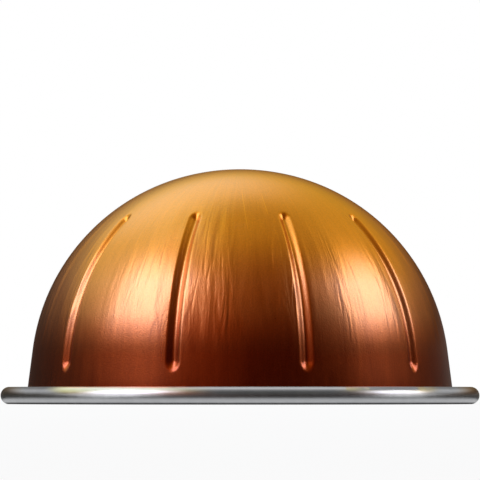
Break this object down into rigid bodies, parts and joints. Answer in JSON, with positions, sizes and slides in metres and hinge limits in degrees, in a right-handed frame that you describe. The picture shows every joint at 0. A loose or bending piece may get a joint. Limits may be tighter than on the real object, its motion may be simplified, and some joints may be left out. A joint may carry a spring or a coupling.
{
  "type": "coffee pod",
  "caption": "Dome-shaped sealed aluminium coffee pod with pressed flutes, a narrow flange with a rolled rim and a foil lid; stands on its rim, dome up.",
  "frame": {"origin": "centre of the ring that the rim stands on", "axes": "+Z along the dome's axis, towards the crown; -Y in the middle of a plain panel between flutes"},
  "size_m": [0.06, 0.06, 0.0295],
  "materials": {
    "lacquer": "brushed metal under clear gold to copper lacquer, satin",
    "bare_rim": "satin, rolled edge",
    "foil": "satin foil with a fine rolled grain"
  },
  "bodies": {
    "root": {"coffee_pod": "lacquer"}
  },
  "joints": []
}
